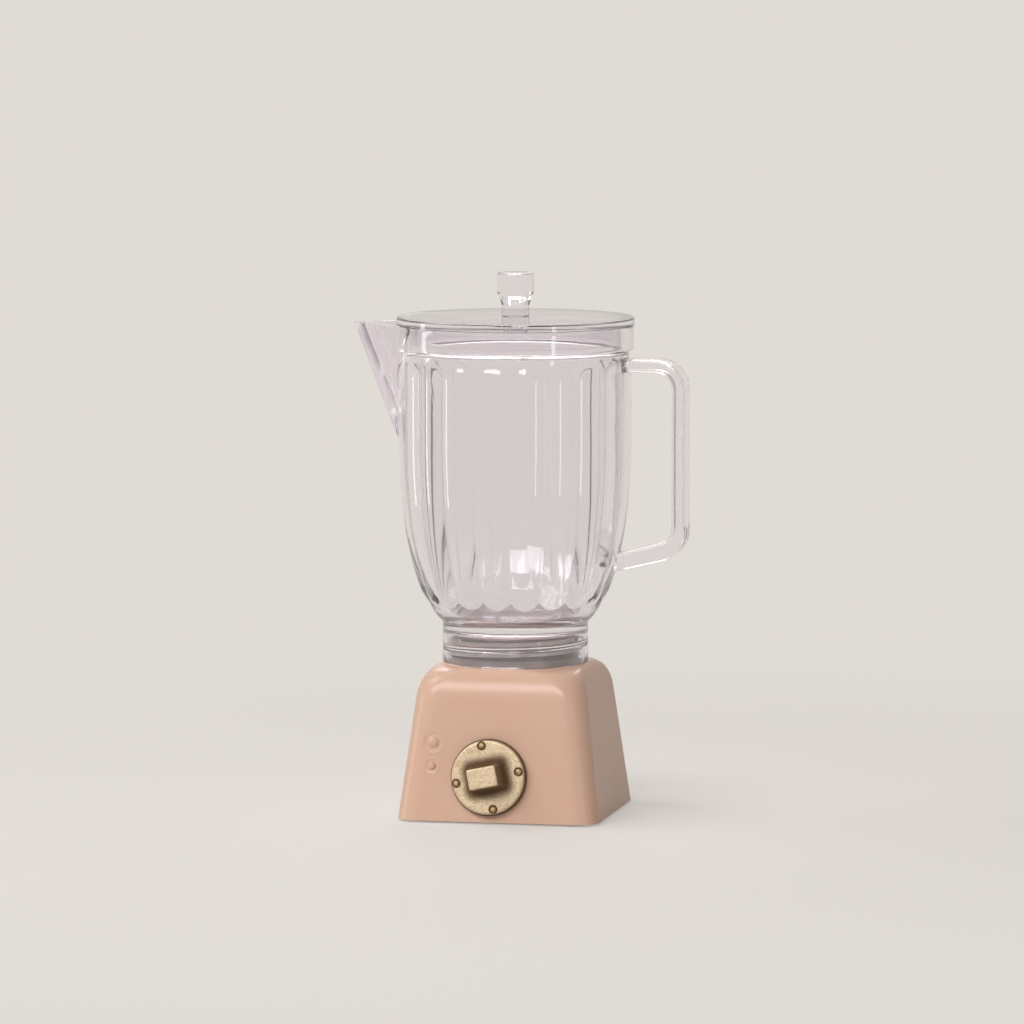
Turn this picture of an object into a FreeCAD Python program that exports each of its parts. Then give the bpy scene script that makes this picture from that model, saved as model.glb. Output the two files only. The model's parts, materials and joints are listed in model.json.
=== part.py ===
import FreeCAD, Part
import math
import os

os.makedirs("parts", exist_ok=True)

# A doll-house blender. Millimetres, +Z up, origin under the middle of the base.
# -Y is the front with the dial, -X the side of the spout, +X the side of the handle.

# ---- driving dimensions ----

# base housing: a square block whose four faces lean in, with soft shoulders up to a rounder roof
standGap = 0.3                 # lower edge of the housing above the table
baseHeight = 20.8
baseWidth = 28.0               # across two faces, at the table
faceLean = 7.0                 # degrees from upright
lowCornerRadius = 3.0
shoulderCornerRadius = 3.5     # of the upright corners where the shoulders start
shoulderHeight = 4.3
shoulderLevels = 13            # outlines that the shoulders are lofted through
roofMargin = 0.15              # flat roof beyond the spigot's flange
roofStraightHalf = 0.55        # straight stretch of each edge of the roof, on each side of its middle
cornerEasing = 2.0             # how late the corners widen on the way up the shoulders; 1 is evenly
housingWall = 1.4
housingRoof = 1.6
insideCornerRadius = 3.8       # of the hollow, under the roof

# bottom cover and the posts that its screws bite in
coverThickness = 1.5
coverGap = 0.15
postInset = 8.2                # post axis from the centre lines
postRadius = 1.9
postSink = 0.3                 # how far the posts run into the roof
pilotDepth = 6.5

# pan head screws, all of one kind
screwShankRadius = 0.7
screwHeadRadius = 1.4
screwHeadHeight = 0.8
screwHeadEdge = 0.27
screwTipEdge = 0.35
screwHoleGap = 0.05
screwLength = 5.5
counterboreGap = 0.2
slotWidth = 0.4
slotDepth = 0.35

# moulded bumps on the front face: a dome, a dished groove round it and a soft raised ring
bigBumpSideways = -8.7
bigBumpHeight = 10.95
bigBumpRingRadius = 1.45
bigBumpDomeRadius = 0.78
smallBumpSideways = -8.85
smallBumpHeight = 7.75
smallBumpRingRadius = 1.02
smallBumpDomeRadius = 0.54
bumpDomeRise = 0.34
bumpGrooveDepth = 0.035
bumpRingRise = 0.03
bumpRingFade = 0.36            # from the ring's crest out to the flat face

# dial
dialHeight = 6.4               # axis above the table, where it leaves the front face
dialSideways = -0.8
dialTwist = 12.0               # degrees, how far it stands turned
faceGap = 0.12
backplateRadius = 5.25
backplateThickness = 0.7
backplateEdge = 0.25
plateRadius = 5.05
plateThickness = 0.7
plateEdge = 0.35
gripLength = 4.0
gripWidth = 2.8
gripHeight = 3.6
gripFootSpread = 0.85
gripFootHeight = 1.3
gripFootLevels = 5             # outlines that its swept foot is lofted through
gripEdge = 0.25
gripTopEdge = 0.22
rivetCircleRadius = 4.375
rivetCount = 4
rivetShankRadius = 0.38
rivetHeadRadius = 0.475
rivetHeadHeight = 0.42
rivetRecessRadius = 0.62
rivetRecessDepth = 0.25
rivetGap = 0.03
spindleRadius = 1.25
spindleFitGap = 0.02
spindleRunGap = 0.05
spindleEndPlay = 0.1
spindleHoleDepth = 3.0
bossRadius = 2.3
bossDepth = 2.4
washerRadius = 2.2
washerThickness = 0.4

# threaded spigot on the roof
spigotFlangeRadius = 9.2
spigotFlangeHeight = 1.0
spigotCoreRadius = 8.65
spigotHeight = 3.95
spigotWall = 1.25
spigotScrewCircle = 5.5
spigotScrewCount = 3
spigotScrewStart = 90.0        # angle of the first one
spigotPostRadius = 1.6
spigotTopEdge = 0.2
threadPitch = 1.4
threadDepth = 0.55
threadSink = 0.1               # how far a ridge runs into its wall
threadFootHalf = 0.45
threadCrestHalf = 0.27
threadStartAngle = -163.0
threadStartRise = 0.48         # first turn above the flange
threadTurns = 1.4

# jar
skirtRadius = 10.0
skirtHeight = 5.6
jarThreadStartAngle = 60.0
jarThreadTurns = 1.1
jarThreadFootHalf = 0.32
jarThreadCrestHalf = 0.16
threadRadialGap = 0.3
floorThickness = 1.4
jarWall = 1.4
bellyRadius = 16.0
bellyHeight = 52.3             # where the wall becomes upright
neckPullOut = 3.4              # how the bowl leaves the neck: out
neckPullUp = 2.6               # and up
bellyPullDown = 14.5
fluteCount = 20
fluteDepth = 0.45
# shares of the way up with the share of the full depth there, from neck to belly and on to the rim
bowlFlutes = ((0, 0), (0.1, 0), (0.22, 0.5), (0.36, 1), (0.55, 1), (0.78, 1), (1, 1))
bellyFlutes = ((0.4, 1), (0.78, 1), (0.9, 0.5), (1, 0))
rimRadius = 16.15
rimUnderEdge = 0.13
rimHeight = 3.25
rimTop = 67.1

# spout, an open trough with a sharp keel
spoutReach = 22.6
spoutFoot = 50.5
spoutFootReach = 16.3
spoutNoseRadius = 1.4
spoutBackX = 11.4
spoutBackHalf = 10.6
spoutFootHalf = 1.5             # half width at the foot, as far back
spoutFootNose = 0.3
spoutWall = 1.7

# handle, a flat strap
handleWidth = 5.0
handleThickness = 1.75
handleLowThickness = 2.1       # of the lower arm
handleReach = 23.9
handleTopHeight = 61.8
handleLowHeight = 34.7         # middle of the strap at its lower root
handleLowRise = 2.3            # how much higher it is at the outer bend
handleRootX = 14.2
handleBendRadius = 2.4
handleEdge = 0.45

# seal between spigot and jar
sealRadius = 8.3
sealBore = 6.5
sealThickness = 0.75

# lid
lidRadius = 16.3
lidThickness = 1.1
lidEdge = 0.3
lidPlugGap = 0.15
lidPlugWall = 1.0
lidPlugDepth = 2.5

# knob on the lid
knobRadius = 2.5
knobHeight = 6.05
knobHeadHeight = 2.85
knobEdge = 0.4
knobWaistRadius = 1.9
knobFootHeight = 1.6
knobPegRadius = 1.1
knobPegGap = 0.04
knobPegLength = 1.6

# ---- for the modelling ----

overcut = 1.0                  # how far a cutter runs past the face that it cuts
near = 1e-4                    # for finding edges by their place

# ---- worked out from them ----

leanTan = math.tan(math.radians(faceLean))
shoulderStart = baseHeight - shoulderHeight
roofWidth = 2 * (spigotFlangeRadius + roofMargin)
roofCornerRadius = roofWidth / 2 - roofStraightHalf
roofUnderside = baseHeight - housingRoof
spigotTop = baseHeight + spigotHeight
floorUnderside = spigotTop + sealThickness
floorTop = floorUnderside + floorThickness
neckTop = baseHeight + skirtHeight
skirtBore = spigotCoreRadius + threadDepth + threadRadialGap
jarBore = bellyRadius - jarWall
rimBottom = rimTop - rimHeight
lidTop = rimTop + lidThickness
knobTop = lidTop + knobHeight
up = FreeCAD.Vector(0, 0, 1)
origin = FreeCAD.Vector(0, 0, 0)


# ---- helpers ----

def save(shape, node):
    shape.exportStep("parts/" + node + ".step")


def rod(radius, low, high, x=0.0, y=0.0):
    return Part.makeCylinder(radius, high - low, FreeCAD.Vector(x, y, low), up)


def tube(radius, bore, low, high):
    return rod(radius, low, high).cut(rod(bore, low - overcut, high + overcut))


def around(count, radius, startAngle=0.0):
    """Centres evenly spaced on a circle."""
    turns = [math.radians(startAngle + 360.0 * i / count) for i in range(count)]
    return [(radius * math.cos(a), radius * math.sin(a)) for a in turns]


def corners(inset):
    return [(x, y) for x in (-inset, inset) for y in (-inset, inset)]


def roundedOutline(points, radii):
    """A closed wire through the points, with each corner rounded where its radius is not 0."""
    edges = []
    ends = []
    total = len(points)
    for i in range(total):
        corner = points[i]
        before = (points[i - 1] - corner).normalize()
        after = (points[(i + 1) % total] - corner).normalize()
        radius = radii[i]
        if radius == 0:
            ends.append((corner, corner, None))
            continue
        halfAngle = before.getAngle(after) / 2
        reach = radius / math.tan(halfAngle)
        bisector = (before + after).normalize()
        middle = corner + bisector * (radius / math.sin(halfAngle) - radius)
        ends.append((corner + before * reach, corner + after * reach, middle))
    for i in range(total):
        first, last, middle = ends[i]
        following = ends[(i + 1) % total][0]
        if middle is not None:
            edges.append(Part.Arc(first, middle, last).toShape())
        edges.append(Part.makeLine(last, following))
    return Part.Wire(edges)


def squareWire(side, radius, z):
    half = side / 2
    spots = [(-half, -half), (half, -half), (half, half), (-half, half)]
    return roundedOutline([FreeCAD.Vector(x, y, z) for x, y in spots], [radius] * 4)


def turned(points):
    """A solid turned about Z from an outline of (radius, height) points."""
    spots = [FreeCAD.Vector(r, 0, z) for r, z in points]
    face = Part.Face(Part.makePolygon(spots + spots[:1]))
    return face.revolve(origin, up, 360)


def rimEdges(shape, radius, z):
    """Round edges of one radius at one height."""
    return [e for e in shape.Edges
            if hasattr(e.Curve, "Radius") and abs(e.Curve.Radius - radius) < near
            and abs(e.BoundBox.ZMin - z) < near and abs(e.BoundBox.ZMax - z) < near]


def helixRidge(rootRadius, crestRadius, rootHalf, crestHalf, turns, startAngle, startZ):
    """A thread ridge: a trapezoid swept along a right-hand helix."""
    path = Part.Wire(Part.makeHelix(threadPitch, threadPitch * turns, rootRadius).Edges)
    spots = [FreeCAD.Vector(rootRadius, 0, -rootHalf), FreeCAD.Vector(crestRadius, 0, -crestHalf),
             FreeCAD.Vector(crestRadius, 0, crestHalf), FreeCAD.Vector(rootRadius, 0, rootHalf)]
    ridge = path.makePipeShell([Part.makePolygon(spots + spots[:1])], True, True)
    ridge.rotate(origin, up, startAngle)
    ridge.translate(FreeCAD.Vector(0, 0, startZ))
    return ridge


def panScrew(length):
    """A slotted pan head screw: shank up from z = 0, head below it."""
    head = rod(screwHeadRadius, -screwHeadHeight, 0)
    head = head.makeFillet(screwHeadEdge, rimEdges(head, screwHeadRadius, -screwHeadHeight))
    slot = Part.makeBox(2 * screwHeadRadius, slotWidth, slotDepth,
                        FreeCAD.Vector(-screwHeadRadius, -slotWidth / 2, -screwHeadHeight))
    shank = rod(screwShankRadius, -screwHeadHeight / 2, length)
    shank = shank.makeChamfer(screwTipEdge, rimEdges(shank, screwShankRadius, length))
    return head.fuse(shank).removeSplitter().cut(slot)


# ---- places that several pieces share ----

def sideAt(z):
    return baseWidth - 2 * leanTan * z


def cornerAt(z):
    return lowCornerRadius + (shoulderCornerRadius - lowCornerRadius) * z / shoulderStart


lean = math.radians(faceLean)
dialOut = FreeCAD.Vector(0, -math.cos(lean), math.sin(lean))
dialUp = FreeCAD.Vector(0, math.sin(lean), math.cos(lean))


def onFront(x, z):
    """The point of the front face at this place."""
    return FreeCAD.Vector(x, -sideAt(z) / 2, z)


def toFront(shape, x, z, twist=0.0):
    """Lays a shape made about Z on the front face, with its Z pointing out of it."""
    axes = FreeCAD.Matrix(1, dialUp.x, dialOut.x, 0, 0, dialUp.y, dialOut.y, 0,
                          0, dialUp.z, dialOut.z, 0, 0, 0, 0, 1)
    laid = shape.copy()
    laid.rotate(origin, up, twist)
    laid.Placement = FreeCAD.Placement(axes).multiply(laid.Placement)
    laid.translate(onFront(x, z))
    return laid


def onDial(shape):
    return toFront(shape, dialSideways, dialHeight, dialTwist)


bumpSeat = -housingWall / 2
bumps = [(bigBumpRingRadius, bigBumpDomeRadius, bigBumpSideways, bigBumpHeight),
         (smallBumpRingRadius, smallBumpDomeRadius, smallBumpSideways, smallBumpHeight)]

housingWallThrough = housingWall * math.cos(lean)
bossEnd = -housingWallThrough - bossDepth
spindleEnd = bossEnd - spindleEndPlay
backplateTop = faceGap + backplateThickness
plateTop = backplateTop + plateThickness


# ---- base ----

def makeBump(ringRadius, domeRadius):
    """A round patch of the housing's wall, turned about Z, with the bump on its outer end."""
    edge = ringRadius + bumpRingFade
    halfway = math.sqrt(0.5)
    relief = [(0, bumpDomeRise), (domeRadius * halfway, bumpDomeRise * halfway), (domeRadius, 0),
              ((domeRadius + ringRadius) / 2, -bumpGrooveDepth), (ringRadius, bumpRingRise), (edge, 0)]
    level = FreeCAD.Vector(1, 0, 0)
    curve = Part.BSplineCurve()
    curve.interpolate([FreeCAD.Vector(r, 0, z) for r, z in relief],
                      InitialTangent=level, FinalTangent=level)
    block = [(edge, 0), (edge, bumpSeat), (0, bumpSeat), (0, bumpDomeRise)]
    sides = Part.makePolygon([FreeCAD.Vector(r, 0, z) for r, z in block]).Edges
    return Part.Face(Part.Wire([curve.toShape()] + sides)).revolve(origin, up, 360)


def shoulderWire(share):
    """An outline of the shoulders, from the faces at 0 to the flat roof at 1, on a quarter of an ellipse."""
    turn = math.pi / 2 * share
    inward = 1 - math.cos(turn)
    z = shoulderStart + shoulderHeight * math.sin(turn)
    side = sideAt(z) - inward * (sideAt(baseHeight) - roofWidth)
    widening = inward ** cornerEasing
    return squareWire(side, shoulderCornerRadius + widening * (roofCornerRadius - shoulderCornerRadius), z)


def makeBaseHousing():
    low = squareWire(sideAt(standGap), cornerAt(standGap), standGap)
    shoulders = [shoulderWire(i / (shoulderLevels - 1)) for i in range(shoulderLevels)]
    outer = Part.makeLoft([low, shoulders[0]], True, True).fuse(Part.makeLoft(shoulders, True, False))

    below = standGap - housingWall
    insideLow = squareWire(sideAt(below) - 2 * housingWall, cornerAt(below) - housingWall, below)
    insideHigh = squareWire(sideAt(roofUnderside) - 2 * housingWall, insideCornerRadius, roofUnderside)
    housing = outer.cut(Part.makeLoft([insideLow, insideHigh], True, True))

    posts = [rod(postRadius, coverThickness, roofUnderside + postSink, x, y)
             for x, y in corners(postInset)]
    boss = onDial(rod(bossRadius, bossEnd, -housingWall / 2))
    for ringRadius, domeRadius, x, z in bumps:
        seat = rod(ringRadius + bumpRingFade, bumpSeat, overcut)
        housing = housing.cut(toFront(seat, x, z))
        housing = housing.fuse(toFront(makeBump(ringRadius, domeRadius), x, z))
    housing = housing.fuse(posts + [boss])

    pilot = screwShankRadius + screwHoleGap
    holes = [rod(pilot, coverThickness - overcut, coverThickness + pilotDepth, x, y)
             for x, y in corners(postInset)]
    holes += [rod(pilot, roofUnderside - overcut, baseHeight + overcut, x, y)
              for x, y in around(spigotScrewCount, spigotScrewCircle, spigotScrewStart)]
    holes.append(onDial(rod(spindleRadius + spindleRunGap, bossEnd - overcut, overcut)))
    return housing.cut(holes).removeSplitter()


def makeBottomCover():
    side = sideAt(coverThickness) - 2 * housingWall - 2 * coverGap
    radius = cornerAt(coverThickness) - housingWall
    plate = Part.Face(squareWire(side, radius, 0)).extrude(up * coverThickness)
    recess = screwHeadHeight + counterboreGap
    cuts = []
    for x, y in corners(postInset):
        cuts.append(rod(screwHeadRadius + counterboreGap, -overcut, recess, x, y))
        cuts.append(rod(screwShankRadius + screwHoleGap, -overcut, coverThickness + overcut, x, y))
    return plate.cut(cuts)


def makeBottomScrews():
    screws = []
    for x, y in corners(postInset):
        screw = panScrew(screwLength)
        screw.translate(FreeCAD.Vector(x, y, screwHeadHeight + counterboreGap))
        screws.append(screw)
    return Part.makeCompound(screws)


# ---- spigot ----

threadStartZ = baseHeight + spigotFlangeHeight + threadStartRise


def makeThreadedSpigot():
    flange = rod(spigotFlangeRadius, baseHeight, baseHeight + spigotFlangeHeight)
    core = rod(spigotCoreRadius, baseHeight, spigotTop)
    core = core.makeFillet(spigotTopEdge, rimEdges(core, spigotCoreRadius, spigotTop))
    body = flange.fuse(core).removeSplitter()
    ridge = helixRidge(spigotCoreRadius - threadSink, spigotCoreRadius + threadDepth,
                       threadFootHalf, threadCrestHalf, threadTurns, threadStartAngle, threadStartZ)
    body = body.fuse(ridge)
    spots = around(spigotScrewCount, spigotScrewCircle, spigotScrewStart)
    hollow = rod(spigotCoreRadius - spigotWall, baseHeight - overcut, spigotTop - spigotWall)
    hollow = hollow.cut([rod(spigotPostRadius, baseHeight - 2 * overcut, spigotTop, x, y)
                         for x, y in spots])
    pilot = screwShankRadius + screwHoleGap
    holes = [rod(pilot, baseHeight - overcut, spigotTop - spigotWall, x, y) for x, y in spots]
    return body.cut([hollow] + holes)


def makeSpigotScrews():
    length = spigotTop - spigotWall - roofUnderside - 2 * screwHoleGap
    screws = []
    for x, y in around(spigotScrewCount, spigotScrewCircle, spigotScrewStart):
        screw = panScrew(length)
        screw.translate(FreeCAD.Vector(x, y, roofUnderside))
        screws.append(screw)
    return Part.makeCompound(screws)


# ---- dial ----

def makeDialBackplate():
    disc = rod(backplateRadius, faceGap, backplateTop)
    disc = disc.makeFillet(backplateEdge, rimEdges(disc, backplateRadius, backplateTop)
                           + rimEdges(disc, backplateRadius, faceGap))
    holes = [rod(rivetShankRadius + rivetGap, -overcut, backplateTop + overcut, x, y)
             for x, y in around(rivetCount, rivetCircleRadius)]
    holes.append(rod(spindleRadius + spindleFitGap, -overcut, backplateTop + overcut))
    return onDial(disc.cut(holes))


def gripWire(length, width, radius, z):
    spots = [(-length, -width), (length, -width), (length, width), (-length, width)]
    return roundedOutline([FreeCAD.Vector(x / 2, y / 2, z) for x, y in spots], [radius] * 4)


def makeDialPlate():
    disc = rod(plateRadius, backplateTop, plateTop)
    disc = disc.makeFillet(plateEdge, rimEdges(disc, plateRadius, plateTop))
    levels = []
    for i in range(gripFootLevels):
        share = i / (gripFootLevels - 1)
        spread = 2 * gripFootSpread * (1 - share) ** 2
        levels.append(gripWire(gripLength + spread, gripWidth + spread, gripEdge + spread / 3,
                               plateTop - gripEdge + (gripFootHeight + gripEdge) * share))
    foot = Part.makeLoft(levels, True, False)
    stem = Part.Face(gripWire(gripLength, gripWidth, gripEdge, plateTop + gripFootHeight))
    stem = stem.extrude(up * (gripHeight - gripFootHeight))
    stemTop = plateTop + gripHeight
    stem = stem.makeFillet(gripTopEdge, [e for e in stem.Edges if e.BoundBox.ZMin > stemTop - near])
    plate = disc.fuse([foot, stem])
    cuts = []
    for x, y in around(rivetCount, rivetCircleRadius):
        cuts.append(rod(rivetRecessRadius, plateTop - rivetRecessDepth, plateTop + overcut, x, y))
        cuts.append(rod(rivetShankRadius + rivetGap, backplateTop - overcut, plateTop + overcut, x, y))
    return onDial(plate.cut(cuts).removeSplitter())


def makeDialRivets():
    seat = plateTop - rivetRecessDepth
    ballRadius = (rivetHeadRadius ** 2 + rivetHeadHeight ** 2) / (2 * rivetHeadHeight)
    rivets = []
    for x, y in around(rivetCount, rivetCircleRadius):
        ball = Part.makeSphere(ballRadius, FreeCAD.Vector(x, y, seat + rivetHeadHeight - ballRadius))
        dome = ball.common(rod(rivetHeadRadius, seat, seat + rivetHeadHeight + overcut, x, y))
        rivets.append(onDial(dome.fuse(rod(rivetShankRadius, faceGap, seat, x, y)).removeSplitter()))
    return Part.makeCompound(rivets)


def makeDialSpindle():
    spindle = rod(spindleRadius, spindleEnd, backplateTop)
    hole = rod(screwShankRadius + screwHoleGap, spindleEnd - overcut, spindleEnd + spindleHoleDepth)
    return onDial(spindle.cut(hole))


def makeDialWasher():
    return onDial(tube(washerRadius, screwShankRadius + screwHoleGap,
                       spindleEnd - washerThickness, spindleEnd))


def makeDialScrew():
    screw = panScrew(spindleHoleDepth + washerThickness - 2 * screwHoleGap)
    screw.translate(FreeCAD.Vector(0, 0, spindleEnd - washerThickness))
    return onDial(screw)


# ---- jar ----

def bowlPoles(wall=0.0):
    """Control points (radius, height) of the bowl's curve, outside or inside its wall."""
    low = floorTop if wall else neckTop
    return [(skirtRadius - wall, low), (skirtRadius + neckPullOut - wall, neckTop + neckPullUp + wall),
            (bellyRadius - wall, bellyHeight - bellyPullDown), (bellyRadius - wall, bellyHeight)]


def bowlPoint(share):
    """A point of the outside curve, from the neck at 0 to the belly at 1."""
    rest = 1 - share
    weights = (rest ** 3, 3 * rest ** 2 * share, 3 * rest * share ** 2, share ** 3)
    return tuple(sum(w * p[k] for w, p in zip(weights, bowlPoles())) for k in (0, 1))


def flutedWire(radius, depth, z):
    """A ring of convex arcs that meet in valleys."""
    step = 360.0 / fluteCount
    edges = []
    for i in range(fluteCount):
        spots = []
        for turn, reach in ((i - 0.5, radius - depth), (i, radius), (i + 0.5, radius - depth)):
            angle = math.radians(step * turn)
            spots.append(FreeCAD.Vector(reach * math.cos(angle), reach * math.sin(angle), z))
        edges.append(Part.Arc(*spots).toShape())
    return Part.Wire(edges)


def makeFlutedBody():
    levels = []
    for share, depthShare in bowlFlutes:
        radius, z = bowlPoint(share)
        levels.append(flutedWire(radius, fluteDepth * depthShare, z))
    run = rimBottom - bellyHeight
    for share, depthShare in bellyFlutes:
        levels.append(flutedWire(bellyRadius, fluteDepth * depthShare, bellyHeight + run * share))
    return Part.makeLoft(levels, True, False, False, 3)


def makeJarOuter():
    skirt = rod(skirtRadius, baseHeight, neckTop)
    rim = rod(rimRadius, rimBottom, rimTop)
    rim = rim.makeFillet(rimUnderEdge, rimEdges(rim, rimRadius, rimBottom))
    return skirt.fuse([makeFlutedBody(), rim, spoutWedge(0)]).removeSplitter()


def spoutWedge(wall):
    """The spout's outside, or its trough where a wall is given."""
    levels = []
    for z, share in ((spoutFoot + wall, 0.0), (rimTop + wall, 1.0)):
        nose = spoutFootNose + (spoutNoseRadius - spoutFootNose) * share
        nose = max(nose - wall / 2, spoutFootNose)
        reach = spoutFootReach + (spoutReach - spoutFootReach) * share - wall
        half = spoutFootHalf + (spoutBackHalf - spoutFootHalf) * share - wall * share
        angle = math.atan2(half, reach - spoutBackX)
        tip = reach + nose * (1 / math.sin(angle) - 1)
        spots = [(-spoutBackX, -half), (-tip, 0), (-spoutBackX, half)]
        levels.append(roundedOutline([FreeCAD.Vector(x, y, z) for x, y in spots], [0, nose, 0]))
    return Part.makeLoft(levels, True, True)


def makeJarInside():
    """The space in the jar above its floor."""
    poles = bowlPoles(jarWall)
    curve = Part.BezierCurve()
    curve.setPoles([FreeCAD.Vector(r, 0, z) for r, z in poles])
    mouthHeight = rimTop + overcut
    outline = [(poles[3][0], mouthHeight), (0, mouthHeight), (0, floorTop), poles[0]]
    spots = [FreeCAD.Vector(r, 0, z) for r, z in [poles[3]] + outline]
    lines = Part.makePolygon(spots).Edges
    face = Part.Face(Part.Wire([curve.toShape()] + lines))
    return face.revolve(origin, up, 360)


def makeJarBody(outer):
    trough = spoutWedge(spoutWall)
    socket = rod(skirtBore, baseHeight - overcut, floorUnderside)
    body = outer.cut([makeJarInside(), trough, socket])
    angleAhead = (jarThreadStartAngle - threadStartAngle) / 360.0
    startZ = threadStartZ + threadPitch * (angleAhead - 0.5)
    ridge = helixRidge(skirtBore + threadSink, skirtBore - threadDepth, jarThreadFootHalf,
                       jarThreadCrestHalf, jarThreadTurns, jarThreadStartAngle, startZ)
    return body.fuse(ridge)


def strapSlab(points, radii, half):
    """A slab across Y from an outline of (x, height) points."""
    wire = roundedOutline([FreeCAD.Vector(x, -half, z) for x, z in points], radii)
    return Part.Face(wire).extrude(FreeCAD.Vector(0, 2 * half, 0))


def makeJarHandle(outer):
    high = handleTopHeight
    low = handleLowHeight
    highHalf = handleThickness / 2
    lowHalf = handleLowThickness / 2
    innerX = handleReach - handleThickness
    outside = [(handleRootX, high + highHalf), (handleReach, high + highHalf),
               (handleReach, low + handleLowRise - lowHalf), (handleRootX, low - lowHalf)]
    inside = [(handleRootX - overcut, high - highHalf), (innerX, high - highHalf),
              (innerX, low + handleLowRise + lowHalf), (handleRootX - overcut, low + lowHalf)]
    outerRadius = handleBendRadius + handleThickness
    half = handleWidth / 2
    strap = strapSlab(outside, [0, outerRadius, outerRadius, 0], half)
    strap = strap.cut(strapSlab(inside, [0, handleBendRadius, handleBendRadius, 0], half + overcut))
    sides = [e for e in strap.Edges
             if abs(abs(e.CenterOfMass.y) - half) < near and e.BoundBox.YLength < near
             and e.BoundBox.XMax > handleRootX + near]
    strap = strap.makeFillet(handleEdge, sides)
    return strap.cut(outer)


def makeJarSeal():
    return tube(sealRadius, sealBore, spigotTop, floorUnderside)


# ---- lid ----

def makeLidDisc():
    disc = rod(lidRadius, rimTop, lidTop)
    disc = disc.makeFillet(lidEdge, rimEdges(disc, lidRadius, lidTop))
    plugRadius = jarBore - lidPlugGap
    plug = tube(plugRadius, plugRadius - lidPlugWall, rimTop - lidPlugDepth, rimTop)
    hole = rod(knobPegRadius + knobPegGap, rimTop - overcut, lidTop + overcut)
    return disc.fuse(plug).removeSplitter().cut(hole)


def makeLidKnob():
    headLow = knobTop - knobHeadHeight
    footTop = lidTop + knobFootHeight
    body = turned([(0, lidTop), (knobWaistRadius, lidTop), (knobWaistRadius, footTop),
                   (knobRadius - knobEdge / 2, headLow - knobEdge), (knobRadius, headLow),
                   (knobRadius, knobTop), (0, knobTop)])
    body = body.makeFillet(knobEdge, rimEdges(body, knobRadius, knobTop))
    peg = rod(knobPegRadius, lidTop - knobPegLength, lidTop)
    return body.fuse(peg).removeSplitter()


jarOuter = makeJarOuter()

save(makeBaseHousing(), "base_housing")
save(makeBottomCover(), "bottom_cover")
save(makeBottomScrews(), "bottom_screws")
save(makeThreadedSpigot(), "threaded_spigot")
save(makeSpigotScrews(), "spigot_screws")
save(makeDialBackplate(), "dial_backplate")
save(makeDialPlate(), "dial_plate")
save(makeDialRivets(), "dial_rivets")
save(makeDialSpindle(), "dial_spindle")
save(makeDialWasher(), "dial_washer")
save(makeDialScrew(), "dial_screw")
save(makeJarSeal(), "jar_seal")
save(makeJarBody(jarOuter), "jar_body")
save(makeJarHandle(jarOuter), "jar_handle")
save(makeLidDisc(), "lid_disc")
save(makeLidKnob(), "lid_knob")
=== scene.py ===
import json
import math
import bpy
import numpy as np
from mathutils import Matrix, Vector


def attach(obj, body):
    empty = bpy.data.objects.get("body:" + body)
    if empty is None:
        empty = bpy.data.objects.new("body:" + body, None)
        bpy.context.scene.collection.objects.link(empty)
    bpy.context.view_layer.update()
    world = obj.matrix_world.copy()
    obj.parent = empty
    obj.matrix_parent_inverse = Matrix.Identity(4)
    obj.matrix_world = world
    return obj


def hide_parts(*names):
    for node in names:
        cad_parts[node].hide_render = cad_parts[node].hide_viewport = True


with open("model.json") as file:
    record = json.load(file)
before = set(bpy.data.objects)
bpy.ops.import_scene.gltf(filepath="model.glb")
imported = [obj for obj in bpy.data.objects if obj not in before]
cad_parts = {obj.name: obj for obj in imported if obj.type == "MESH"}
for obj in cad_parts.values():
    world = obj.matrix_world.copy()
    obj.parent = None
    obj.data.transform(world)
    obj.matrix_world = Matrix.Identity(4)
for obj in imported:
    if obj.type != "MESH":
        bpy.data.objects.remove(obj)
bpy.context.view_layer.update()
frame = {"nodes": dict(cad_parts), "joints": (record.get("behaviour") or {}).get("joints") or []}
nodes = frame["nodes"]
joints = {joint["name"]: joint for joint in frame["joints"]}
mm = 0.001
xAxis, yAxis, zAxis = (1, 0, 0), (0, 1, 0), (0, 0, 1)
print("frame:", len(nodes), "nodes")


def srgb(red, green, blue):
    # a colour given as 0 to 255, in the linear values that shaders take
    shares = [value / 255 for value in (red, green, blue)]
    linear = [s / 12.92 if s <= 0.04045 else ((s + 0.055) / 1.055) ** 2.4 for s in shares]
    return tuple(linear) + (1.0,)


class flow:
    # one output of a shader node; arithmetic on it adds Math or Vector Math nodes
    def __init__(self, kit, socket):
        self.kit = kit
        self.socket = socket

    def __add__(self, other):
        return self.kit.maths("ADD", self, other)

    def __radd__(self, other):
        return self.kit.maths("ADD", other, self)

    def __sub__(self, other):
        return self.kit.maths("SUBTRACT", self, other)

    def __rsub__(self, other):
        return self.kit.maths("SUBTRACT", other, self)

    def __mul__(self, other):
        return self.kit.maths("MULTIPLY", self, other)

    def __rmul__(self, other):
        return self.kit.maths("MULTIPLY", other, self)

    def __pow__(self, other):
        return self.kit.maths("POWER", self, other)

    def __abs__(self):
        return self.kit.maths("ABSOLUTE", self)

    def atLeast(self, other):
        return self.kit.maths("MAXIMUM", self, other)

    def atMost(self, other):
        return self.kit.maths("MINIMUM", self, other)

    def dot(self, axis):
        made = self.kit.node("ShaderNodeVectorMath", {"operation": "DOT_PRODUCT"},
                             {0: self, 1: tuple(axis)})
        return made.other("Value")

    def other(self, name):
        return flow(self.kit, self.socket.node.outputs[name])

    def ramp(self, start, end, low=0.0, high=1.0):
        # low at start, high at end, smooth between
        return self.kit.node("ShaderNodeMapRange",
                             {"interpolation_type": "SMOOTHSTEP", "clamp": True},
                             {"Value": self, "From Min": start, "From Max": end,
                              "To Min": low, "To Max": high})


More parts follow.
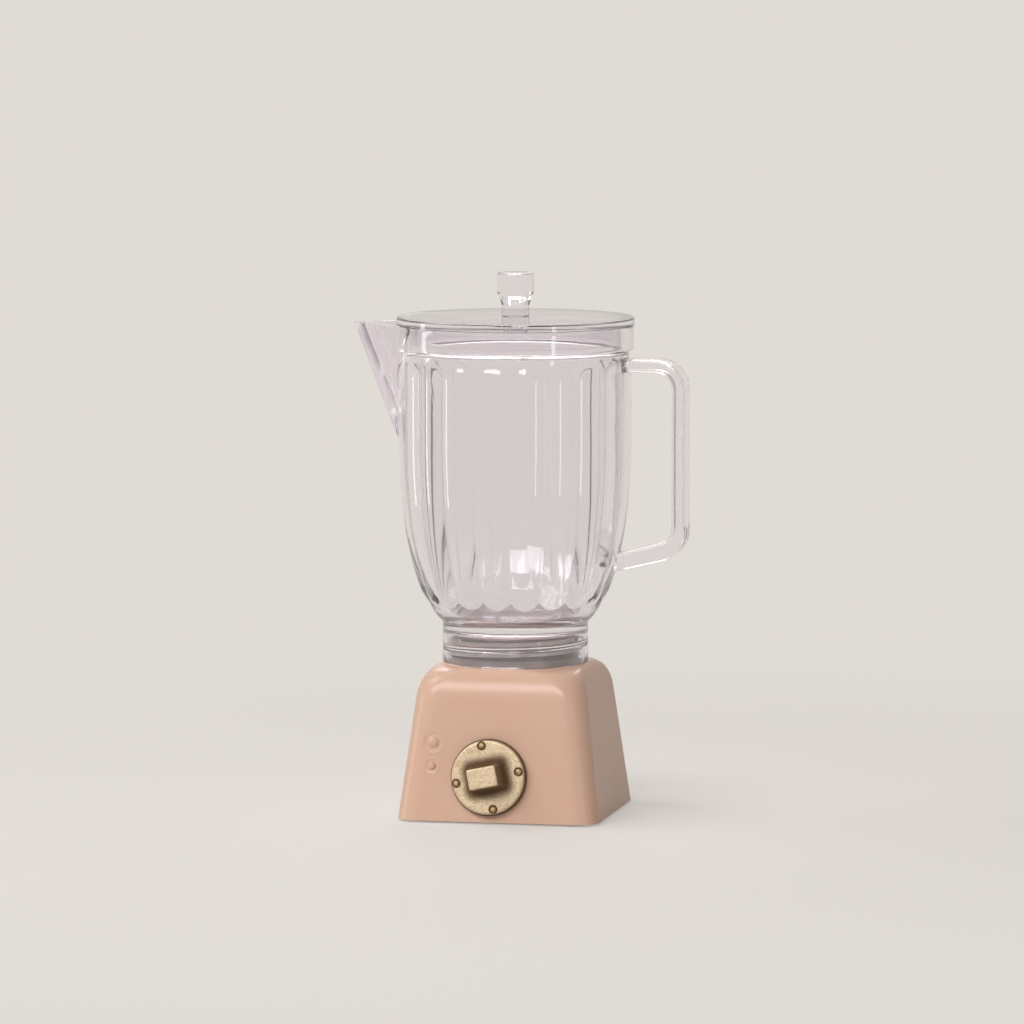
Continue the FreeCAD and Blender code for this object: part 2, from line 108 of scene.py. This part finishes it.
class shaderKit:
    # the nodes of one new material or world, and the one way in which they are added
    def __init__(self, owner):
        owner.use_nodes = True
        self.owner = owner
        self.tree = owner.node_tree
        self.tree.nodes.clear()

    def place(self):
        # the point that is shaded, in metres in the frame's axes
        return self.node("ShaderNodeTexCoord").other("Object")

    def node(self, kind, settings=None, sockets=None):
        made = self.tree.nodes.new(kind)
        for name, value in (settings or {}).items():
            setattr(made, name, value)
        for name, value in (sockets or {}).items():
            if isinstance(value, flow):
                self.tree.links.new(value.socket, made.inputs[name])
            else:
                made.inputs[name].default_value = value
        return flow(self, made.outputs[0]) if made.outputs else made

    def maths(self, operation, *terms):
        wide = any(isinstance(t, flow) and t.socket.type in ("VECTOR", "RGBA") for t in terms)
        if wide:
            terms = [t if isinstance(t, (flow, tuple)) else (t, t, t) for t in terms]
        kind = "ShaderNodeVectorMath" if wide else "ShaderNodeMath"
        return self.node(kind, {"operation": operation}, dict(enumerate(terms)))

    def blend(self, factor, first, second):
        made = self.node("ShaderNodeMix", {"data_type": "RGBA"}, {0: factor, 6: first, 7: second})
        return flow(self, made.socket.node.outputs[2])

    def mixed(self, factor, first, second):
        # two whole surfaces
        return self.node("ShaderNodeMixShader", {}, {0: factor, 1: first, 2: second})

    def noise(self, size, detail=2.0, roughness=0.5, stretch=(1, 1, 1)):
        # grain about size millimetres across
        spot = self.place() * tuple(1 / (share * size * mm) for share in stretch)
        return self.node("ShaderNodeTexNoise", {}, {"Vector": spot, "Detail": detail,
                                                    "Scale": 1.0, "Roughness": roughness})

    def bump(self, height, depth):
        # depth in millimetres for a height of 1
        return self.node("ShaderNodeBump", {},
                         {"Height": height, "Distance": depth * mm, "Strength": 1.0})

    def surface(self, sockets):
        return self.node("ShaderNodeBsdfPrincipled", {}, sockets)

    def done(self, shader):
        kind = "World" if isinstance(self.owner, bpy.types.World) else "Material"
        self.node("ShaderNodeOutput" + kind, {}, {"Surface": shader})
        return self.owner


def newFinish(name):
    return shaderKit(bpy.data.materials.new(name))


# the dial's own axes, for the dark wax and painted shade that follow its relief
dialTwist = math.radians(12.0)
dialCentre = Vector(joints["dial_turn"]["pos_m"])
dialOut = Vector(joints["dial_turn"]["axis"]).normalized()
dialSide = Vector(xAxis)
dialUpright = dialOut.cross(dialSide)
dialAcross = dialSide * math.cos(dialTwist) + dialUpright * math.sin(dialTwist)
dialAlong = dialUpright * math.cos(dialTwist) - dialSide * math.sin(dialTwist)

# in all finishes sizes and depths are millimetres, and a pair is where a tone starts and is full
paint = {
    "colour": srgb(211, 176, 154),
    "warm": srgb(208, 168, 141),
    "warmShare": 0.35,
    "cloudSize": 9.0,
    "cloudBand": (0.3, 0.7),
    "peelSize": 0.9,
    "peelDepth": 0.006,
    "roughness": 0.42,
    "uneven": 0.05,
    "specular": 0.0,            # the lacquer over it has all the gloss
    "coat": 0.65,
    "coatRoughness": 0.24,
}


def basePaint():
    kit = newFinish("rosePaint")
    cloud = kit.noise(paint["cloudSize"], 3).ramp(*paint["cloudBand"])
    peel = kit.noise(paint["peelSize"], 2)
    return kit.done(kit.surface({
        "Base Color": kit.blend(cloud * paint["warmShare"], paint["colour"], paint["warm"]),
        "Roughness": paint["roughness"] + paint["uneven"] * (peel - 0.5),
        "Specular IOR Level": paint["specular"],
        "Coat Weight": paint["coat"],
        "Coat Roughness": paint["coatRoughness"],
        "Normal": kit.bump(peel, paint["peelDepth"]),
    }))


gold = {
    "light": srgb(213, 194, 166),
    "shade": srgb(182, 159, 122),
    "waxAndShade": srgb(86, 58, 26),
    "rivet": srgb(176, 151, 108),
    "cloudSize": 1.3,
    "cloudBand": (0.35, 0.7),
    "cloudShare": 0.4,
    "grainSize": 0.3,
    "grainRoughness": 0.65,
    "grainDepth": 0.022,
    "grainBand": (0.45, 0.65),
    "grainShare": 0.75,
    # where it is darker: wax and painted shade round the grip's foot, up its walls and round the
    # rivets, and a little at the rim
    "gripHalfLength": 2.0,
    "gripHalfWidth": 1.4,
    "gripTop": 3.6,
    "faceHeight": 1.52,
    "moatOut": 1.95,
    "moatIn": 0.6,
    "moatUneven": 0.5,
    "moatHeights": (2.6, 0.3),
    "wallBelowTop": (0.1, 0.5),
    "wallHeights": (0.2, 0.6),
    "wallShare": 0.8,
    "rivetCircle": 4.375,
    "rivetSkirt": (0.36, 0.52),     # on a rivet, out from its middle
    "rivetRing": (0.68, 0.55),      # on the plate round it
    "plateRadius": 5.05,
    "rimWidth": 0.05,
    "rimShare": 0.3,
    "waxAndShadeUneven": 0.2,
    "metallic": 0.6,
    "metallicLost": 0.4,            # under the wax and painted shade
    "roughness": 0.5,
    "waxAndShadeRougher": 0.1,
    "uneven": 0.1,
}


def goldFinish(name, rivets=False):
    kit = newFinish(name)
    local = (kit.place() - tuple(dialCentre)) * (1 / mm)
    across = local.dot(dialAcross)
    along = local.dot(dialAlong)
    grain = kit.noise(gold["grainSize"], 3, gold["grainRoughness"])
    # the rivets stand on the two axes, all at one distance
    wide = abs(across).atLeast(abs(along)) - gold["rivetCircle"]
    narrow = abs(across).atMost(abs(along))
    rivetGap = (wide ** 2 + narrow ** 2) ** 0.5
    if rivets:
        # wax and painted shade at a rivet's foot
        dark = rivetGap.ramp(*gold["rivetSkirt"])
        base = gold["rivet"]
    else:
        height = local.dot(dialOut) - gold["faceHeight"]
        cloud = kit.noise(gold["cloudSize"], 3)
        outX = (abs(across) - gold["gripHalfLength"]).atLeast(0.0)
        outY = (abs(along) - gold["gripHalfWidth"]).atLeast(0.0)
        gap = (outX ** 2 + outY ** 2) ** 0.5 + gold["moatUneven"] * (cloud - 0.5)
        # wax and painted shade in the flare round the grip's foot
        moat = gap.ramp(gold["moatOut"], gold["moatIn"]) * height.ramp(*gold["moatHeights"])
        belowTop = [gold["gripTop"] - depth for depth in gold["wallBelowTop"]]
        # wax and painted shade up the grip's walls
        wall = height.ramp(*belowTop) * height.ramp(*gold["wallHeights"]) * gold["wallShare"]
        # wax and painted shade in the recess round each rivet
        ring = rivetGap.ramp(*gold["rivetRing"])
        fromAxis = (across ** 2 + along ** 2) ** 0.5
        rim = fromAxis.ramp(gold["plateRadius"] - gold["rimWidth"], gold["plateRadius"])
        dark = moat.atLeast(wall).atLeast(ring).atLeast(rim * gold["rimShare"])
        clouded = cloud.ramp(*gold["cloudBand"]) * gold["cloudShare"]
        grained = grain.ramp(*gold["grainBand"]) * gold["grainShare"]
        base = kit.blend(clouded, gold["light"], gold["shade"])
        base = kit.blend(grained, base, gold["shade"])
    dark = (dark + (grain - 0.5) * gold["waxAndShadeUneven"]).atLeast(0.0).atMost(1.0)
    return kit.done(kit.surface({
        "Base Color": kit.blend(dark, base, gold["waxAndShade"]),
        "Metallic": gold["metallic"] - gold["metallicLost"] * dark,
        "Roughness": gold["roughness"] + gold["waxAndShadeRougher"] * dark + gold["uneven"] * (grain - 0.5),
        "Normal": kit.bump(grain, gold["grainDepth"]),
    }))


silver = {
    "crest": srgb(178, 172, 168),
    "cloudy": srgb(150, 143, 138),
    "valley": srgb(96, 90, 86),
    "cloudSize": 2.5,
    "cloudBand": (0.35, 0.7),
    "cloudShare": 0.6,
    "grainSize": 0.5,
    "grainRoughness": 0.6,
    "grainStretch": (4, 4, 1),      # longer round the thread than up it
    "grainDepth": 0.008,
    "crestRadius": 9.1,
    "valleyRadius": 8.72,
    "valleyShare": 0.8,
    "flangeTop": 21.8,
    "flangeFade": 0.1,
    "flangeShadeShare": 0.5,
    "metallic": 0.9,
    "roughness": 0.3,
    "uneven": 0.12,
}


def silverFinish():
    # painted shade between the thread's turns, and a painted dark reflection on the flange under it
    kit = newFinish("greySilver")
    grain = kit.noise(silver["grainSize"], 3, silver["grainRoughness"], silver["grainStretch"])
    cloud = kit.noise(silver["cloudSize"], 2)
    spot = kit.place() * (1 / mm)
    fromAxis = (spot.dot(xAxis) ** 2 + spot.dot(yAxis) ** 2) ** 0.5
    # painted shade between the thread's turns
    valleyShadeMask = fromAxis.ramp(silver["crestRadius"], silver["valleyRadius"]) * silver["valleyShare"]
    # painted dark reflection on the flange
    flange = spot.dot(zAxis).ramp(silver["flangeTop"] + silver["flangeFade"], silver["flangeTop"])
    clouded = cloud.ramp(*silver["cloudBand"]) * silver["cloudShare"]
    colour = kit.blend(clouded, silver["crest"], silver["cloudy"])
    colour = kit.blend(valleyShadeMask.atLeast(flange * silver["flangeShadeShare"]), colour, silver["valley"])
    return kit.done(kit.surface({
        "Base Color": colour,
        "Metallic": silver["metallic"],
        "Roughness": silver["roughness"] + silver["uneven"] * (grain - 0.5),
        "Normal": kit.bump(grain, silver["grainDepth"]),
    }))


styrene = {
    "tint": srgb(245, 242, 245),
    "shadow": (0.94, 0.93, 0.94, 1),    # what is left of the light in its shadow
    "waveSize": 6.0,
    "waveDepth": 0.02,
    "roughness": 0.02,
    "uneven": 0.03,
    "bending": 1.5,
    "clearness": 0.98,
}

paintedKeelReflection = {
    # painted reflection: the spout's keel is made pale and translucent, in place of the pale
    # surroundings its inner faces mirror;
    # it is so beyond this distance from the axis, towards the spout, and within this distance of
    # the spout's middle plane
    "colour": srgb(238, 232, 236),
    "share": 0.6,
    "out": (16.4, 17.0),
    "aside": (2.6, 1.7),
}


def clearFinish():
    kit = newFinish("clearStyrene")
    wave = kit.noise(styrene["waveSize"], 2)
    body = kit.surface({
        "Base Color": styrene["tint"],
        "Roughness": styrene["roughness"] + styrene["uneven"] * wave,
        "IOR": styrene["bending"],
        "Transmission Weight": styrene["clearness"],
        "Normal": kit.bump(wave, styrene["waveDepth"]),
    })
    spot = kit.place() * (1 / mm)
    # painted reflection: the keel's pale translucent share
    out = spot.dot((-1, 0, 0)).ramp(*paintedKeelReflection["out"])
    aside = abs(spot.dot(yAxis)).ramp(*paintedKeelReflection["aside"])
    keelReflection = kit.node("ShaderNodeBsdfTranslucent", {}, {"Color": paintedKeelReflection["colour"]})
    body = kit.mixed(out * aside * paintedKeelReflection["share"], body, keelReflection)
    # its shadow is pale, and not the black one of a solid piece
    veil = kit.node("ShaderNodeBsdfTransparent", {}, {"Color": styrene["shadow"]})
    inShadow = kit.node("ShaderNodeLightPath").other("Is Shadow Ray")
    return kit.done(kit.mixed(inShadow, body, veil))


# the plain finishes: one grain, two tones of one colour
darkBackplate = {
    # the backplate, dark, so that it shows as a dark line round the plate
    "tones": (srgb(78, 56, 32), srgb(100, 74, 44)),
    "band": (0.35, 0.7),
    "grainSize": 0.2,
    "detail": 3,
    "grainDepth": 0.006,
    "roughness": 0.5,
    "uneven": 0.15,
    "metallic": 0.4,
    "clearness": 0.0,
}

cover = {
    "tones": (srgb(66, 58, 54), srgb(56, 49, 46)),
    "band": (0.3, 0.7),
    "grainSize": 0.3,
    "detail": 2,
    "grainDepth": 0.01,
    "roughness": 0.6,
    "uneven": 0.1,
    "metallic": 0.0,
    "clearness": 0.0,
}

steel = {
    "tones": (srgb(188, 188, 190), srgb(164, 164, 168)),
    "band": (0.3, 0.7),
    "grainSize": 0.2,
    "detail": 2,
    "grainDepth": 0.004,
    "roughness": 0.3,
    "uneven": 0.15,
    "metallic": 1.0,
    "clearness": 0.0,
}

seal = {
    "tones": (srgb(196, 178, 172), srgb(186, 168, 162)),
    "band": (0.3, 0.7),
    "grainSize": 0.6,
    "detail": 2,
    "grainDepth": 0.005,
    "roughness": 0.45,
    "uneven": 0.1,
    "metallic": 0.0,
    "clearness": 0.3,
}


def grainedFinish(name, look):
    kit = newFinish(name)
    grain = kit.noise(look["grainSize"], look["detail"])
    return kit.done(kit.surface({
        "Base Color": kit.blend(grain.ramp(*look["band"]), *look["tones"]),
        "Metallic": look["metallic"],
        "Roughness": look["roughness"] + look["uneven"] * (grain - 0.5),
        "Transmission Weight": look["clearness"],
        "Normal": kit.bump(grain, look["grainDepth"]),
    }))


def dress(material, *names):
    for name in names:
        nodes[name].data.materials.clear()
        nodes[name].data.materials.append(material)


clear = clearFinish()
dress(basePaint(), "base_housing")
dress(goldFinish("castGold"), "dial_plate")
dress(grainedFinish("darkBackplateGold", darkBackplate), "dial_backplate")
dress(goldFinish("rivetGold", True), "dial_rivets")
dress(silverFinish(), "threaded_spigot")
dress(clear, "jar_handle", "lid_disc", "lid_knob")
dress(grainedFinish("darkCover", cover), "bottom_cover")
dress(grainedFinish("zincSteel", steel),
      "bottom_screws", "spigot_screws", "dial_spindle", "dial_washer", "dial_screw")
dress(grainedFinish("mauveSilicone", seal), "jar_seal")
print("finishes on the frame's nodes")

# the jar's sizes are millimetres, as in the frame
jar = {
    "angles": 360,
    "spoutSpread": 12.0,        # degrees each side of the keel, with angles between the even ones
    "skirtLow": 20.8,
    "skirtRadius": 10.0,
    "skirtBore": 9.5,
    "skirtRows": (22.5, 24.5),
    "neckTop": 26.4,
    "floorUnderside": 25.5,
    "floorTop": 26.9,
    "wall": 1.4,
    "pullOut": 3.4,             # the bowl's curve: how far its poles stand out, up and down
    "pullUp": 2.6,
    "pullDown": 14.5,
    "bellyRadius": 16.0,
    "bellyHeight": 52.3,
    "rimRadius": 16.15,
    "rimBottom": 63.85,
    "rimTop": 67.1,
    "edge": 0.12,               # size of the softened edges, and how far their middles come in
    "edgeMiddle": 0.03,
    "socketRound": 0.6,
    "floorRound": 1.2,
}

# how closely the jar's rows lie
jarSteps = {
    "corner": 7,
    "bore": 0.1,
    "bowlOutside": 90,
    "bowlInside": 60,
    "upright": 0.4,
    "rimStart": 0.5,
    "rim": 0.45,
    "floor": 9,
}

flute = {
    "count": 20,
    "depth": 0.45,
    "low": 31.0,                # where the straight part of a flute ends, below and above
    "high": 60.4,
    "end": 2.0,                 # reach of its rounded ends beyond that
}

spout = {
    "foot": 50.5,
    "footReach": 16.3,
    "reach": 22.6,
    "backX": 11.4,
    "backHalf": 10.6,
    "footHalf": 1.5,
    "wall": 1.7,
    "blend": 0.5,               # softness of its join with the bowl, outside and inside
    "blendInside": 0.3,
    "nose": 0.03,               # roundness of its keel
    "least": 0.3,               # no spout where it would be smaller than this
}

ridge = {
    "pitch": 1.4,
    "depth": 0.35,
    "footHalf": 0.4,
    "crestHalf": 0.05,
    "start": 60.0,              # degrees
    "turns": 1.1,
    "startHeight": 22.447,
    "fade": 12.0,               # degrees over which its ends die out
}


def jarAngles():
    even = np.linspace(0, 2 * math.pi, jar["angles"], endpoint=False)
    spread = math.radians(jar["spoutSpread"])
    step = 2 * math.pi / jar["angles"]
    between = np.arange(math.pi - spread + step / 2, math.pi + spread, step)
    # rounded, so that no angle is there twice
    return np.unique(np.round(np.concatenate([even, between]), 9))


def bowlCurve(wall, steps):
    # points (radius, height) of the bowl's outside, or of its inside for a wall
    low = jar["floorTop"] if wall else jar["neckTop"]
    poles = np.array([
        (jar["skirtRadius"] - wall, low),
        (jar["skirtRadius"] + jar["pullOut"] - wall, jar["neckTop"] + jar["pullUp"] + wall),
        (jar["bellyRadius"] - wall, jar["bellyHeight"] - jar["pullDown"]),
        (jar["bellyRadius"] - wall, jar["bellyHeight"]),
    ])
    share = np.linspace(0, 1, steps)[:, None]
    rest = 1 - share
    weights = np.hstack([rest ** 3, 3 * rest ** 2 * share, 3 * rest * share ** 2, share ** 3])
    return weights @ poles


def smoothMax(first, second, width):
    near = np.maximum(width - np.abs(first - second), 0) / width
    return np.maximum(first, second) + near ** 2 * width / 4


def fluted(angles, radius, height):
    # one row of the outside: convex flutes with round ends, on a ground that lies lower
    step = 2 * math.pi / flute["count"]
    side = ((angles / step + 0.5) % 1) * 2 - 1
    beyond = max(flute["low"] - height, height - flute["high"], 0) / flute["end"]
    drop = np.minimum(side ** 2 + beyond ** 2, 1)
    # the ground comes up to the full radius at the neck
    ground = min(max((height - jar["neckTop"]) / (flute["low"] - jar["neckTop"]), 0), 1)
    return radius - flute["depth"] * drop * ground


def spoutReach(angles, height, wall):
    # how far out the keeled spout's side lies; below its foot it runs on into the bowl
    share = (height - spout["foot"] - wall) / (jar["rimTop"] - spout["foot"])
    reach = spout["footReach"] + (spout["reach"] - spout["footReach"]) * share - wall
    half = spout["footHalf"] + (spout["backHalf"] - spout["footHalf"]) * share - wall * share
    length = reach - spout["backX"]
    turn = angles - math.pi
    if min(length, half) < spout["least"]:
        return np.zeros_like(angles)
    across = np.sqrt(np.sin(turn) ** 2 + spout["nose"] ** 2) - spout["nose"]
    out = (1 + spout["backX"] / length) / (np.cos(turn) / length + across / half)
    return np.where(np.cos(turn) > 0.5, out, 0)


def threadRise(angles, height):
    # how far the jar's thread stands into the bore at this height
    rise = np.zeros_like(angles)
    for turn in range(math.ceil(ridge["turns"])):
        along = (np.degrees(angles) - ridge["start"]) % 360 + 360 * turn
        aside = np.abs(height - ridge["startHeight"] - ridge["pitch"] * along / 360)
        flank = (ridge["footHalf"] - aside) / (ridge["footHalf"] - ridge["crestHalf"])
        ends = np.minimum(along, ridge["turns"] * 360 - along) / ridge["fade"]
        rise = np.maximum(rise, np.clip(flank, 0, 1) * np.clip(ends, 0, 1) * ridge["depth"])
    return rise


def skirtRows(angles):
    # from the middle of the underside, down the threaded bore and up the skirt
    edge, corner = jar["edge"], jar["socketRound"]
    bore, skirt, low = jar["skirtBore"], jar["skirtRadius"], jar["skirtLow"]
    plain = np.ones_like(angles)
    rows = []
    for turn in np.linspace(0, math.pi / 2, jarSteps["corner"])[:-1]:
        rows.append((plain * (bore - corner + corner * math.sin(turn)),
                     jar["floorUnderside"] - corner + corner * math.cos(turn)))
    for height in np.arange(jar["floorUnderside"] - corner, low + edge, -jarSteps["bore"]):
        rows.append((bore - threadRise(angles, height), height))
    rows.append((plain * (bore + edge), low))
    rows.append((plain * (skirt - edge), low))
    for height in (low + edge, *jar["skirtRows"], jar["neckTop"] - edge):
        rows.append((plain * skirt, height))
    return rows


def outsideRows(angles):
    # up the fluted bowl, then the plain rim; the spout runs through both
    edge, middle = jar["edge"], jar["edgeMiddle"]
    rim, low, top = jar["rimRadius"], jar["rimBottom"], jar["rimTop"]
    steps = list(bowlCurve(0, jarSteps["bowlOutside"])[1:])
    upright = jarSteps["upright"]
    for height in np.arange(jar["bellyHeight"] + upright, low - edge, upright):
        steps.append((jar["bellyRadius"], height))
    rows = []
    for radius, height in steps:
        side = fluted(angles, radius, height)
        rows.append((smoothMax(side, spoutReach(angles, height, 0), spout["blend"]), height))
    steps = [(rim - edge, low), (rim - middle, low + middle), (rim, low + edge)]
    steps += [(rim, h) for h in np.arange(low + jarSteps["rimStart"], top - edge, jarSteps["rim"])]
    steps += [(rim, top - edge), (rim - middle, top - middle), (rim - edge, top)]
    for radius, height in steps:
        # the spout's edge is softened as the rim's is
        reach = spoutReach(angles, height, 0) - (rim - radius) * (height > top - edge)
        side = np.ones_like(angles) * radius
        rows.append((smoothMax(side, reach, spout["blend"]), height))
    return rows


def insideRows(angles):
    # down the inside, to a soft corner and the flat floor
    edge, middle, top = jar["edge"], jar["edgeMiddle"], jar["rimTop"]
    inner = jar["bellyRadius"] - jar["wall"]
    plain = np.ones_like(angles)
    steps = [(inner + edge, top), (inner + middle, top - middle), (inner, top - edge)]
    for height in np.arange(top - jarSteps["rimStart"], jar["bellyHeight"], -jarSteps["rim"]):
        steps.append((inner, height))
    inside = bowlCurve(jar["wall"], jarSteps["bowlInside"])
    upper = inside[inside[:, 1] > jar["floorTop"] + jar["floorRound"]]
    rows = []
    for radius, height in steps + list(upper[::-1]):
        reach = spoutReach(angles, height, spout["wall"])
        rows.append((smoothMax(plain * radius, reach, spout["blendInside"]), height))
    flat = inside[0] - (jar["floorRound"], 0)
    for share in np.linspace(0, 1, jarSteps["floor"])[1:]:
        rest = 1 - share
        spot = rest ** 2 * upper[0] + 2 * share * rest * inside[0] + share ** 2 * flat
        rows.append((plain * spot[0], spot[1]))
    return rows


def makeClearJar():
    # rings of (radius at each angle, height), closed by a fan at the underside and at the floor
    angles = jarAngles()
    rows = skirtRows(angles) + outsideRows(angles) + insideRows(angles)
    count = len(angles)
    spots = [(0, 0, jar["floorUnderside"] * mm)]
    for radius, height in rows:
        x, y = radius * np.cos(angles) * mm, radius * np.sin(angles) * mm
        spots += zip(x, y, [height * mm] * count)
    spots.append((0, 0, jar["floorTop"] * mm))
    last = len(spots) - 1
    around = [(i, (i + 1) % count) for i in range(count)]
    faces = [(0, 1 + j, 1 + i) for i, j in around]
    for row in range(len(rows) - 1):
        low, high = 1 + row * count, 1 + (row + 1) * count
        faces += [(low + i, low + j, high + j, high + i) for i, j in around]
    ring = 1 + (len(rows) - 1) * count
    faces += [(ring + i, ring + j, last) for i, j in around]
    mesh = bpy.data.meshes.new("clear_jar")
    mesh.from_pydata(spots, [], faces)
    mesh.shade_smooth()
    mesh.materials.append(clear)
    made = bpy.data.objects.new("clear_jar", mesh)
    bpy.context.scene.collection.objects.link(made)
    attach(made, "jar")
    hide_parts("jar_body")
    print("clear jar:", len(spots), "points")


makeClearJar()

# the studio's sizes and places are metres
studio = {
    "background": srgb(224, 219, 213),
    "floor": srgb(243, 240, 236),
    "floorHalf": 6.0,
    "plainNear": 0.5,           # share of plain background on the floor, near the object
    "fade": (0.04, 0.2),        # where it starts to grow, and where it is all
    "roomColour": (1, 0.94, 0.88, 1),
    "roomLight": 0.16,
}


def paleSurface(kit, strengthFactor):
    # what the lens and the shiny and clear pieces see is the plain background colour
    path = kit.node("ShaderNodeLightPath")
    seen = path.other("Is Camera Ray").atLeast(path.other("Is Glossy Ray"))
    seen = seen.atLeast(path.other("Is Transmission Ray"))
    return seen * strengthFactor


def makeFloor():
    mesh = bpy.data.meshes.new("floor")
    half = studio["floorHalf"]
    corners = [(-half, -half, 0), (half, -half, 0), (half, half, 0), (-half, half, 0)]
    mesh.from_pydata(corners, [], [(0, 1, 2, 3)])
    floor = bpy.data.objects.new("floor", mesh)
    bpy.context.scene.collection.objects.link(floor)
    kit = newFinish("paleFloor")
    spot = kit.place()
    away = (spot.dot(xAxis) ** 2 + spot.dot(yAxis) ** 2) ** 0.5
    plainShare = away.ramp(*studio["fade"], studio["plainNear"])
    matte = kit.node("ShaderNodeBsdfDiffuse", {}, {"Color": studio["floor"]})
    plain = kit.node("ShaderNodeEmission", {}, {"Color": studio["background"], "Strength": 1.0})
    mesh.materials.append(kit.done(kit.mixed(paleSurface(kit, plainShare), matte, plain)))


def makeWorld():
    world = bpy.data.worlds.new("studio")
    bpy.context.scene.world = world
    kit = shaderKit(world)
    plain = kit.node("ShaderNodeBackground", {}, {"Color": studio["background"], "Strength": 1.0})
    room = kit.node("ShaderNodeBackground", {},
                    {"Color": studio["roomColour"], "Strength": studio["roomLight"]})
    kit.done(kit.mixed(paleSurface(kit, 1.0), room, plain))


lampAim = (0, 0, 0.035)
lamps = {
    # power in watts
    "front": {"at": (-0.185, -0.645, 0.471), "size": (0.90, 0.20), "power": 5.0,
              "colour": (1, 0.985, 1)},
    "left": {"at": (-0.42, 0.0, 0.50), "size": (0.30, 0.22), "power": 0.9,
             "colour": (1, 0.98, 0.98)},
    "back": {"at": (-0.10, 0.62, 0.42), "size": (0.40, 0.30), "power": 1.3,
             "colour": (1, 0.98, 0.96)},
}


def makeLamps():
    for name, lamp in lamps.items():
        data = bpy.data.lights.new(name, "AREA")
        data.shape = "RECTANGLE"
        data.size, data.size_y = lamp["size"]
        data.energy = lamp["power"]
        data.color = lamp["colour"]
        made = bpy.data.objects.new(name, data)
        made.location = lamp["at"]
        aim = Vector(lampAim) - made.location
        made.rotation_euler = aim.to_track_quat("-Z", "Y").to_euler()
        bpy.context.scene.collection.objects.link(made)


cards = {
    # upright bright strips, for long reflections on the flutes;
    # lower than the lid, which doesn't mirror them
    "low": 0.001,
    "height": 0.055,
    "colour": (1, 0.98, 1, 1),
    "glow": 6.0,
    "places": {"leftCard": (-0.20, -0.015), "rightCard": (0.15, -0.135)},
    "widths": {"leftCard": 0.022, "rightCard": 0.014},
}


def makeCards():
    # seen in reflections only
    for name, (x, y) in cards["places"].items():
        side = Vector((-y, x, 0)).normalized() * cards["widths"][name] / 2
        low, high = cards["low"], cards["height"]
        corners = [(x + s * side.x, y + s * side.y, z)
                   for s, z in ((-1, low), (1, low), (1, high), (-1, high))]
        mesh = bpy.data.meshes.new(name)
        mesh.from_pydata(corners, [], [(0, 1, 2, 3)])
        card = bpy.data.objects.new(name, mesh)
        bpy.context.scene.collection.objects.link(card)
        kit = newFinish(name)
        glow = kit.node("ShaderNodeEmission", {},
                        {"Color": cards["colour"], "Strength": cards["glow"]})
        mesh.materials.append(kit.done(glow))
        card.visible_camera = False
        card.visible_diffuse = False
        card.visible_transmission = False
        card.visible_shadow = False


lens = {
    "focal": 239.06,            # mm, as is the sensor's width
    "sensor": 36.0,
    "azimuth": 12.0,            # degrees
    "elevation": 5.8,
    "distance": 0.932,
    "aim": (0, 0, 0.041),
    "picture": 1024,            # pixels across
    "shift": (-3.5, 2.3),       # pixels
    "near": 0.01,
    "far": 50,
}


def makeCamera():
    data = bpy.data.cameras.new("camera")
    data.lens = lens["focal"]
    data.sensor_width = lens["sensor"]
    data.shift_x, data.shift_y = [pixels / lens["picture"] for pixels in lens["shift"]]
    data.clip_start, data.clip_end = lens["near"], lens["far"]
    camera = bpy.data.objects.new("camera", data)
    turn, rise = math.radians(lens["azimuth"]), math.radians(lens["elevation"])
    back = Vector((math.sin(turn) * math.cos(rise),
                   -math.cos(turn) * math.cos(rise),
                   math.sin(rise)))
    camera.location = Vector(lens["aim"]) + back * lens["distance"]
    camera.rotation_euler = (-back).to_track_quat("-Z", "Y").to_euler()
    bpy.context.scene.collection.objects.link(camera)
    bpy.context.scene.camera = camera


makeFloor()
makeWorld()
makeLamps()
makeCards()
makeCamera()
bpy.context.scene.view_settings.view_transform = "Standard"
print("studio ready")
